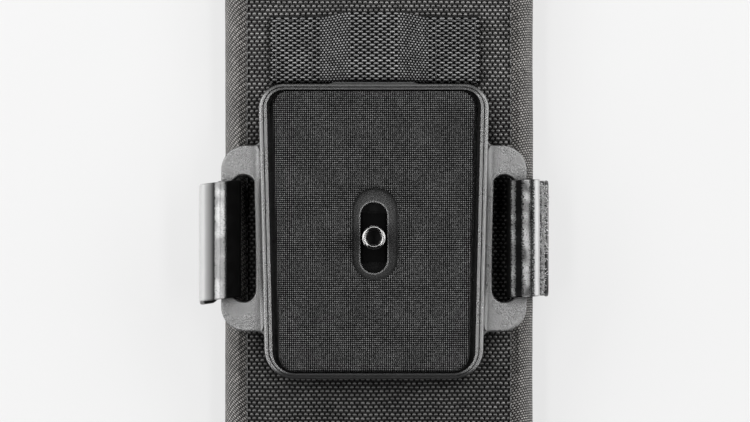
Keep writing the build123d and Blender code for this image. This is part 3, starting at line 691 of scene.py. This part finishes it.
def strip_piece(name, path, thick, width, material, half=None, lift=None, shear=None, across=30):
    """A strap or tape along a path in XZ, with rolled edges.

    half(s, length) narrows it, lift(s, y) ripples it and shear(x, z) moves it along Y.
    """
    rows = len(path)
    r = min(EDGE_R, thick / 2)
    places = [-1 + 2 * k / across for k in range(across + 1)]
    ring = [(t, 0.0, thick / 2) for t in places]
    for a in (60, 30, 0, -30, -60):
        ring.append((1.0, r * cos(a * pi / 180), (thick / 2) * sin(a * pi / 180)))
    ring += [(t, 0.0, -thick / 2) for t in reversed(places)]
    for a in (-120, -150, -180, -210, -240):
        ring.append((-1.0, r * cos(a * pi / 180), (thick / 2) * sin(a * pi / 180)))
    n = len(ring)
    verts = []
    length = path[-1][2]
    for i, (x, z, s) in enumerate(path):
        p, q = path[max(0, i - 1)], path[min(rows - 1, i + 1)]
        tx, tz = q[0] - p[0], q[1] - p[1]
        size = hypot(tx, tz)
        nx, nz = -tz / size, tx / size
        hw = (half(s, length) if half else width / 2) - r
        for t, out, h in ring:
            y = STRAP_Y + t * hw + out
            rise = lift(s, y) if lift else 0.0
            px, pz = x + nx * (h + rise), z + nz * (h + rise)
            verts.append((px, y + (shear(px, pz) if shear else 0.0), pz))
    faces, uvs = [], []
    girth = [0.0]
    for a, b in zip(ring, ring[1:] + ring[:1]):
        girth.append(girth[-1] + hypot((b[0] - a[0]) * (width / 2) + b[1] - a[1], b[2] - a[2]))
    for i in range(rows - 1):
        for k in range(n):
            a, b = i * n + k, i * n + (k + 1) % n
            faces.append((a, a + n, b + n, b))
            s0, s1 = path[i][2], path[i + 1][2]
            uvs += [(girth[k], s0), (girth[k], s1), (girth[k + 1], s1), (girth[k + 1], s0)]
    faces.append(tuple(range(n)))
    faces.append(tuple(reversed([(rows - 1) * n + k for k in range(n)])))
    uvs += [(0, 0)] * (2 * n)
    return new_object(name, verts, faces, material, uvs)


def distance_at(path, x, z):
    """How far along a path its nearest place to (x, z) is."""
    spots = []
    for (x0, z0, s0), (x1, z1, s1) in zip(path, path[1:]):
        t = ((x - x0) * (x1 - x0) + (z - z0) * (z1 - z0)) / (s1 - s0) ** 2
        t = min(1.0, max(0.0, t))
        spots.append((hypot(x0 + (x1 - x0) * t - x, z0 + (z1 - z0) * t - z), s0 + (s1 - s0) * t))
    return min(spots)[1]


def crumple(amount, seed, path=(), crests=()):
    """Small dents that follow the strap's bends, and puckers along the crests of sharp ones."""
    marks = [distance_at(path, x, z) for x, z in crests]

    def lift(s, y):
        def dent(along, over, layer):
            return noise.noise(Vector((s * along, y * over, seed + layer)))

        out = amount * (dent(0.3, 0.2, 0) + 0.5 * dent(0.8, 0.5, 5))
        for mark in marks:
            near = hump(s, mark, 0.9)
            if near > 0.01:
                out += near * (0.09 * dent(0.2, 0.45, 9) + 0.022 * dent(1.5, 1.7, 3))
        return out

    return lift


def zoned(name, path, marks):
    """A strap's material whose finish, painted highlights and painted shade change along it; marks are (x, z,
    shine, roughness, crush, tone).
    """
    length = path[-1][2]
    stops = [(distance_at(path, x, z), *rest) for x, z, *rest in marks]
    return glossy_strap(name, length, sorted(stops))


def slant(x, z):
    """The wrap isn't quite square: its left loop hangs lower and its right side rides higher."""
    foot = smooth((z - 1.5) / 6.0)
    if x < -37:
        droop = 1.1 * smooth((22.0 - z) / 7.0) * smooth((-x - 41.5) / 2)
        return (-0.115 * (-37 - x) - droop) * foot
    if x > 38:
        return 0.05 * (x - 38) * foot
    return 0.0


# the tab, the two tapes and the band turn round one corner, one outside the other
CORNER_X, CORNER_Z, TAB_R, PLY_GAP = 40.75, 6.3, 3.0, 0.05
HOOK_R = TAB_R + (STRAP_T + PILE_T) / 2 + PLY_GAP
LOOP_R = HOOK_R + PILE_T + PLY_GAP
BAND_R = LOOP_R + (STRAP_T + PILE_T) / 2 + PLY_GAP
BAND_X, BAND_Z = CORNER_X + BAND_R, CORNER_Z - BAND_R
TAB_X, TAB_Z = CORNER_X + TAB_R, CORNER_Z - TAB_R
TAIL_TOP, HINGE_Z, TAB_END_X = 16.5, 6.35, 18.0
# the straps' upright runs: beside the pad and outside the ear on the left, and inside both ears' slots
LEFT_RUN_X, LEFT_OUT_X, IN_SLOT_X = -42.3, -46.1, 36.1
TIP_R = 3.4  # the tail's rounded corners

band_path = rounded_path(
    [(-41.1, 5.0), (-41.1, 13.2), (-IN_SLOT_X, 18.2), (-IN_SLOT_X, 21.2), (-40.5, 26.5), (-42.3, 26.12),
     (LEFT_OUT_X, 26.12), (LEFT_OUT_X, 15.5), (LEFT_RUN_X, 10.5), (LEFT_RUN_X, BAND_Z), (CORNER_X, BAND_Z)],
    [1.6, 1.0, 1.2, 0.9, 0.9, 3.1, 2.6, 3.0, 3.6],
)
# painted highlights and shade along the left loop: bright tones on the crest streak and the outer rounded band,
# a dark crease between, and the part in the slot made black with little tone and shine
MAT_BAND = zoned("strap_nylon_left", band_path, [
    (-36.1, 20.0, 0.03, 0.5, 0.1, 0.002), (-39.9, 25.7, 0.03, 0.45, 0.5, 0.002),
    (-40.35, 26.3, 1.0, 0.24, 0.6, 0.2), (-41.8, 26.2, 1.0, 0.24, 0.6, 0.2),
    (-42.2, 26.12, 0.04, 0.4, 0.4, 0.002), (-42.7, 26.12, 0.05, 0.42, 0.0, 0.012),
    (-43.6, 26.1, 0.3, 0.42, 0.0, 0.07), (-44.3, 25.83, 0.3, 0.42, 0.0, 0.1),
    (-45.0, 25.4, 0.5, 0.42, 0.0, 0.17), (-45.9, 24.1, 0.6, 0.42, 0.0, 0.22),
    (-46.1, 23.0, 0.6, 0.4, 0.0, 0.2), (-46.1, 21.8, 0.7, 0.34, 0.1, 0.02), (-42.3, 6.0, 0.8, 0.35, 0.4, 0.01),
])
band = strip_piece("strap_band_cloth", band_path, STRAP_T, STRAP_W, MAT_BAND, shear=slant, across=110,
                   lift=crumple(0.03, 1, band_path, [(-41.0, 26.4)]))
settle(band, "body", "strap_nylon", "strap_band")

tail_path = rounded_path([(CORNER_X, BAND_Z), (BAND_X, BAND_Z), (BAND_X, TAIL_TOP)], [BAND_R - 0.001])


def tip_loss(left):
    """What the tail's rounded corners take off its half width, this far from its tip."""
    if left > TIP_R:
        return 0.0
    return TIP_R - sqrt(max(0.0, TIP_R**2 - (TIP_R - left) ** 2))


def tail_half(s, length):
    return STRAP_W / 2 - tip_loss(length - s)


tail = strip_piece("strap_tail_cloth", tail_path, STRAP_T, STRAP_W, MAT_STRAP, half=tail_half)
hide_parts("strap_tail")
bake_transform(tail)

tab_path = rounded_path(
    [(TAB_X - 1.15, 12.8), (TAB_X - 1.15, 15.4), (IN_SLOT_X, 18.9), (IN_SLOT_X, 24.7), (39.7, 25.0),
     (41.6, 24.63), (TAB_X, 24.6), (TAB_X, TAB_Z), (TAB_END_X, TAB_Z)],
    [1.5, 1.2, 1.5, 0.9, 0.9, 1.9, TAB_R],
)
# painted highlights and shade along the right loop: bright tones on a thin streak, a crest streak and the outer
# rounded band, dark between them, and the part in the slot made black with little tone and shine
MAT_TAB = zoned("strap_nylon_right", tab_path, [
    (36.1, 21.0, 0.03, 0.5, 0.1, 0.002), (36.9, 24.6, 0.03, 0.4, 0.3, 0.002),
    (37.2, 24.72, 1.0, 0.24, 0.8, 0.12), (37.35, 24.77, 1.0, 0.24, 0.8, 0.12),
    (37.7, 24.83, 0.03, 0.4, 0.5, 0.002), (39.5, 24.97, 0.03, 0.4, 0.45, 0.002),
    (40.1, 25.0, 1.0, 0.24, 1.0, 0.13), (41.0, 24.76, 1.0, 0.24, 1.0, 0.13),
    (41.6, 24.64, 0.1, 0.35, 0.9, 0.004), (42.4, 24.6, 0.1, 0.35, 0.5, 0.004),
    (42.85, 24.5, 1.0, 0.38, 0.0, 0.15), (43.5, 23.7, 1.0, 0.38, 0.0, 0.17),
    (43.75, 22.0, 0.7, 0.34, 0.1, 0.02), (43.75, 6.0, 0.8, 0.35, 0.4, 0.01),
])
tab = strip_piece("strap_tab_cloth", tab_path, STRAP_T, STRAP_W, MAT_TAB, shear=slant, across=110,
                  lift=crumple(0.05, 3, tab_path, [(37.1, 24.6), (40.2, 24.9), (41.4, 24.7)]))
settle(tab, "body", "strap_nylon", "strap_tab")

WEB_T = 1.3
WEB_LOW = PAD_T + 0.05 + WEB_T / 2
TONGUE_TOP = 16.2 + 6.0
WEB_HIGH = TONGUE_TOP + 0.1 + WEB_T / 2
WEB_Y0, WEB_Y1 = 41.5, 60.3
web_path = rounded_path(
    [(-27.7, WEB_LOW), (-14.35, WEB_LOW), (-6.6, WEB_HIGH), (6.6, WEB_HIGH), (14.35, WEB_LOW), (28.3, WEB_LOW)],
    1.6, step=0.35,
)


def webbing():
    """The webbing loop, sewn flat at both sides and lifted over the plate's tongue."""
    rows, across = len(web_path), 44
    y0, y1, narrow = WEB_Y0, WEB_Y1, 1.1  # the sewn sides are a little narrower
    verts, faces, uvs = [], [], []
    # the weave bunches up where the webbing turns up from its sewn sides
    run, weave_s = 0.0, []
    for i, (x, z, s) in enumerate(web_path):
        if i:
            gap = s - web_path[i - 1][2]
            steep = abs(z - web_path[i - 1][1]) / max(1e-6, gap)
            run += gap * (1 + 0.9 * smooth(steep * 1.9))
        weave_s.append(run)
    ys = [y0 + (y1 - y0) * k / across for k in range(across + 1)]
    for x, z, _ in web_path:
        lifted = smooth((z - WEB_LOW) / (WEB_HIGH - WEB_LOW))
        places = [y0 + (y1 - narrow + narrow * lifted - y0) * ((y - y0) / (y1 - y0)) for y in ys]
        for y in places:
            dent = 0.16 * noise.noise(Vector((x * 0.14, y * 0.16, 3)))
            dent += 0.10 * noise.noise(Vector((x * 0.5, y * 0.1, 9))) * lifted
            roll = 0.35 * (hump(y, y1, 0.5) + hump(y, y0, 0.5))
            verts.append((x, y, z + WEB_T / 2 - roll + dent))
        for y in places:
            verts.append((x, y, z - WEB_T / 2 + 0.05))
    n = 2 * (across + 1)
    for i in range(rows - 1):
        s0, s1 = weave_s[i], weave_s[i + 1]
        for k in range(across):
            a = i * n + k
            faces.append((a, a + n, a + n + 1, a + 1))
            uvs += [(s0, ys[k]), (s1, ys[k]), (s1, ys[k + 1]), (s0, ys[k + 1])]
            b = i * n + across + 1 + k
            faces.append((b, b + 1, b + n + 1, b + n))
            uvs += [(s0, ys[k]), (s0, ys[k + 1]), (s1, ys[k + 1]), (s1, ys[k])]
        for top_k, low_k, flip in ((0, across + 1, True), (across, 2 * across + 1, False)):
            a, b = i * n + top_k, i * n + low_k
            faces.append((a, b, b + n, a + n) if flip else (a, a + n, b + n, b))
            uvs += [(s0, 0), (s0, 1), (s1, 1), (s1, 0)] if flip else [(s0, 0), (s1, 0), (s1, 1), (s0, 1)]
    for i, flip in ((0, False), (rows - 1, True)):
        for k in range(across):
            a, b = i * n + k, i * n + across + 1 + k
            quad = (a, a + 1, b + 1, b)
            faces.append(quad[::-1] if flip else quad)
            uvs += [(0, ys[k])] * 4
    made = new_object("webbing_loop_cloth", verts, faces, MAT_WEB, uvs)
    settle(made, "body", "webbing", "webbing_loop")


webbing()

PILE_W, PILE_END_X = STRAP_W - 1.2, TAB_END_X + 0.8
hook_path = rounded_path(
    [(CORNER_X + HOOK_R, TAIL_TOP + 0.4), (CORNER_X + HOOK_R, CORNER_Z - HOOK_R),
     (PILE_END_X, CORNER_Z - HOOK_R)], [HOOK_R],
)
hook = strip_piece("hook_tape_cloth", hook_path, PILE_T, PILE_W, MAT_PILE, lift=crumple(0.06, 5))
settle(hook, "body", "hook_pile", "hook_tape")
loop_path = rounded_path(
    [(CORNER_X + LOOP_R, HINGE_Z - 0.05), (CORNER_X + LOOP_R, CORNER_Z - LOOP_R),
     (PILE_END_X, CORNER_Z - LOOP_R)], [LOOP_R - 0.1],
)
loop_tape = strip_piece("loop_tape_cloth", loop_path, PILE_T, PILE_W, MAT_PILE)
settle(loop_tape, "body", "loop_pile", "loop_tape")
TAIL_PILE_X = BAND_X - STRAP_T / 2 - 0.28
tail_pile_path = rounded_path([(TAIL_PILE_X, HINGE_Z + 0.4), (TAIL_PILE_X, TAIL_TOP - 0.5)], [])
tail_pile = strip_piece("tail_loop_cloth", tail_pile_path, 0.45, PILE_W, MAT_PILE,
                        half=lambda s, length: tail_half(s, length) - 0.6)
settle(tail_pile, "tail", "loop_pile", "tail_loop_tape")


# ------------------------------------------------------------------ pile strands and stitches
class Chance:
    """A small repeatable source of numbers between 0 and 1."""

    def __init__(self, seed):
        self.state = seed

    def __call__(self, low=0.0, high=1.0):
        self.state = (self.state * 1103515245 + 12345) % 2147483648
        return low + (high - low) * self.state / 2147483648


def tube(verts, faces, points, radius, sides=4):
    """Adds a thin closed tube through points."""
    base = len(verts)
    for i, p in enumerate(points):
        before, after = Vector(points[max(0, i - 1)]), Vector(points[min(len(points) - 1, i + 1)])
        along = (after - before).normalized()
        side = along.orthogonal().normalized()
        other = along.cross(side)
        for k in range(sides):
            a = 2 * pi * k / sides
            v = Vector(p) + (side * cos(a) + other * sin(a)) * radius
            verts.append(tuple(v))
    for i in range(len(points) - 1):
        for k in range(sides):
            a, b = base + i * sides + k, base + i * sides + (k + 1) % sides
            faces.append((a, b, b + sides, a + sides))
    faces.append(tuple(reversed(range(base, base + sides))))
    last = base + (len(points) - 1) * sides
    faces.append(tuple(range(last, last + sides)))


def strands(name, count, seed, root, grow, material, radius):
    """A tangle of small bent strands; root gives where one starts and its way, grow its reach in mm."""
    chance = Chance(seed)
    verts, faces = [], []
    for _ in range(count):
        p, d = root(chance)
        reach = chance(*grow)
        d = (Vector(d) + Vector((chance(-0.8, 0.8), chance(-0.8, 0.8), chance(-0.5, 0.6)))).normalized()
        bend = Vector((chance(-1, 1), chance(-1, 1), chance(-1, 0.4)))
        line = []
        for k in range(5):
            t = k / 4
            line.append(tuple(Vector(p) + d * reach * t + bend * reach * 0.55 * t * t))
        tube(verts, faces, line, radius, 3)
    return new_object(name, verts, faces, material)


def tail_root(chance):
    z = TAIL_TOP - chance(0, 1) ** 2 * 3.2
    half = STRAP_W / 2 - 0.5 - tip_loss(TAIL_TOP + 0.3 - z)
    return (chance(BAND_X - 0.95, BAND_X - 0.45), STRAP_Y + chance(-half, half), z), (-0.1, 0, 0.7)


def hook_root(chance):
    z = TAIL_TOP + 0.3 - chance(0, 1) ** 2 * 3.0
    return (CORNER_X + HOOK_R + chance(-0.3, 0.4), STRAP_Y + chance(-15.0, 15.0), z), (0.1, 0, 0.7)


settle(strands("tail_strands", 700, 11, tail_root, (0.7, 1.4), MAT_FUZZ, 0.095), "tail", "loop_pile")
settle(strands("hook_strands", 500, 23, hook_root, (0.4, 1.0), MAT_FUZZ, 0.08), "body", "hook_pile")


def stitch_row(verts, faces, start, end, up, pitch, length, radius, chance):
    """A row of thread stitches, each dipping into the cloth at both ends."""
    a, b, up = Vector(start), Vector(end), Vector(up)
    span = (b - a).length
    along = (b - a).normalized()
    count = int(span / pitch)
    for k in range(count):
        mid = a + along * (pitch * (k + 0.5) + chance(-0.1, 0.1))
        line = []
        for j in range(6):
            t = j / 5 * 2 - 1
            line.append(tuple(mid + along * t * length / 2 + up * (0.12 - 0.3 * t * t)))
        tube(verts, faces, line, radius, 6)


chance = Chance(77)
verts, faces = [], []
for side in (-1, 1):
    x = PAD_X + side * (SEAM_X + 0.1)
    stitch_row(verts, faces, (x, -76, PAD_T - 0.45), (x, 76, PAD_T - 0.45), (0, 0, 1), 2.1, 1.3, 0.13, chance)
seams = new_object("panel_seam_stitches", verts, faces, MAT_THREAD_LIGHT)
settle(seams, "body", "thread", "panel_seams")

verts, faces = [], []
flat_top = WEB_LOW + WEB_T / 2
WEB_ROWS = ((-26.3, -16.6), (16.6, 27.2))
for x in (*WEB_ROWS[0], *WEB_ROWS[1]):
    stitch_row(verts, faces, (x, 42.4, flat_top), (x, 58.8, flat_top), (0, 0, 1), 2.6, 1.9, 0.15, chance)
for x0, x1 in WEB_ROWS:
    stitch_row(verts, faces, (x0, 58.3, flat_top), (x1, 58.3, flat_top), (0, 0, 1), 2.6, 1.9, 0.15, chance)
loop_stitches = new_object("webbing_stitches", verts, faces, MAT_THREAD)
settle(loop_stitches, "body", "thread", "loop_stitching")

verts, faces = [], []
thread_out = STRAP_T / 2 + 0.04
for x, y, z, half, out in (
    (LEFT_RUN_X - thread_out, STRAP_Y - 0.5, 6.0, 14.2, -1),
    (LEFT_RUN_X - thread_out, STRAP_Y - 0.5, 8.6, 14.2, -1),
    (TAB_X + thread_out, STRAP_Y, 17.6, 14.0, 1),
):
    stitch_row(verts, faces, (x, y - half, z), (x, y + half, z), (out, 0, 0), 2.8, 2.0, 0.16, chance)
strap_stitches = new_object("strap_stitches", verts, faces, MAT_THREAD)
settle(strap_stitches, "body", "thread", "strap_stitching")


# ------------------------------------------------------------------ face pad's cloth
def face_pad():
    """The face pad's woven cover: a soft-edged sheet round its obround hole."""
    rings, rim = 34, 1.3  # rim is how far the soft edge reaches in
    z_top = PLATE_Z + 6.8 + 0.02 + 1.3 + 0.02 + 0.6  # tray floor, gap, rubber, gap, cloth
    top_y, low_y, half_w, taper, r_high, r_low = 39.15, -35.6, 25.93, 0.0204, 4.2, 4.4
    corners = []
    for sx, y, r in ((1, top_y, r_high), (-1, top_y, r_high), (-1, low_y, r_low), (1, low_y, r_low)):
        corners.append((sx * (half_w + taper * y), y, r))
    outer = []
    for (x, y, r), a0 in zip(corners, (0, 90, 180, 270)):
        cx, cy = x - r * (1 if x > 0 else -1), y - r * (1 if y > 0 else -1)
        for k in range(15):
            a = (a0 + 90 * k / 14) * pi / 180
            outer.append((cx + r * cos(a), cy + r * sin(a)))
    dense = []
    for (x0, y0), (x1, y1) in zip(outer, outer[1:] + outer[:1]):
        parts = max(1, int(hypot(x1 - x0, y1 - y0) / 1.1))
        dense += [(x0 + (x1 - x0) * k / parts, y0 + (y1 - y0) * k / parts) for k in range(parts)]
    hx, hy, hr, hl = 0.3, 0.95, 6.1, 6.2  # the hole's middle, end radius and half straight
    inner = []
    for x, y in dense:
        # the hole's edge in the direction of this outer point
        dx, dy = x - hx, y - hy
        low_t, high_t = 0.0, 1.0
        for _ in range(30):
            t = (low_t + high_t) / 2
            if hypot(dx * t, max(0.0, abs(dy * t) - hl)) > hr:
                high_t = t
            else:
                low_t = t
        inner.append((hx + dx * high_t, hy + dy * high_t))
    n = len(dense)
    verts, faces, uvs = [], [], []
    profile = [(0.0, -0.6), (0.05, -0.36), (0.2, -0.2), (0.45, -0.09), (0.8, -0.03), (rim, 0.0)]
    levels = [("outer", d, h) for d, h in profile]
    levels += [("flat", k / rings, 0.0) for k in range(1, rings)]
    levels += [("inner", d, h) for d, h in reversed(profile)]
    for kind, d, h in levels:
        for (ox, oy), (ix, iy) in zip(dense, inner):
            size = hypot(ix - ox, iy - oy)
            if kind == "outer":
                t = d / size
            elif kind == "inner":
                t = 1 - d / size
            else:
                t = (rim + (size - 2 * rim) * d) / size
            x, y = ox + (ix - ox) * t, oy + (iy - oy) * t
            wave = 0.03 * noise.noise(Vector((x * 0.15, y * 0.15, 2))) - 0.03
            verts.append((x, y, z_top + h + wave))
    for r in range(len(levels) - 1):
        for k in range(n):
            a, b = r * n + k, r * n + (k + 1) % n
            faces.append((a, b, b + n, a + n))
            uvs += [verts[i][:2] for i in (a, b, b + n, a + n)]
    last = (len(levels) - 1) * n
    for k in range(n):
        b = (k + 1) % n
        quad = (last + k, last + b, b, k)
        faces.append(quad)
        uvs += [verts[i][:2] for i in quad]
    made = new_object("face_pad_cloth", verts, faces, MAT_PAD, uvs)
    settle(made, "body", "pad_cloth", "face_cloth")


face_pad()


# ------------------------------------------------------------------ floor and lights
floor_mesh = bpy.data.meshes.new("floor")
FLOOR_HALF, FLOOR_Z = 2, -0.0002
corners = [(-1, -1), (1, -1), (1, 1), (-1, 1)]
floor_mesh.from_pydata([(x * FLOOR_HALF, y * FLOOR_HALF, FLOOR_Z) for x, y in corners], [], [(0, 1, 2, 3)])
floor = bpy.data.objects.new("floor", floor_mesh)
bpy.context.scene.collection.objects.link(floor)
g = Graph("floor")
paper = g.mix(g.noise(g.coords()[0], 0.02), grey(0.10), grey(0.104))
# the paper's own glow keeps it pale under lights low enough for the dark object
floor_mesh.materials.append(g.finish(paper, 0.9, Specular_IOR_Level=0.0,
                                     Emission_Color=(1, 1, 1, 1), Emission_Strength=0.645))

world = bpy.data.worlds.new("world")
bpy.context.scene.world = world
world.use_nodes = True
background = world.node_tree.nodes["Background"]
background.inputs["Color"].default_value = (1, 1, 1, 1)
background.inputs["Strength"].default_value = 0.04
AIM = (0, 0, 0.02)


def softbox(name, where, width, height, watts):
    """A rectangular lamp turned towards the object."""
    data = bpy.data.lights.new(name, "AREA")
    data.shape = "RECTANGLE"
    data.size, data.size_y, data.energy = width, height, watts
    lamp = bpy.data.objects.new(name, data)
    bpy.context.scene.collection.objects.link(lamp)
    lamp.location = where
    lamp.rotation_mode = "QUATERNION"
    lamp.rotation_quaternion = (Vector(AIM) - Vector(where)).to_track_quat("-Z", "Y")


for side, share in ((-1, 1.15), (1, 0.95)):
    softbox(f"side_{side}", (side * 1.1, 0.0, 0.10), 1.6, 0.5, 24 * share)
    softbox(f"slant_{side}", (side * 0.80, 0.42, 0.70), 1.2, 0.5, 14 * share)
    softbox(f"strip_{side}", (side * 0.44, 0.0, 1.12), 1.0, 0.15, 7.5)
softbox("top", (0, 0.95, 0.55), 0.9, 0.3, 9)
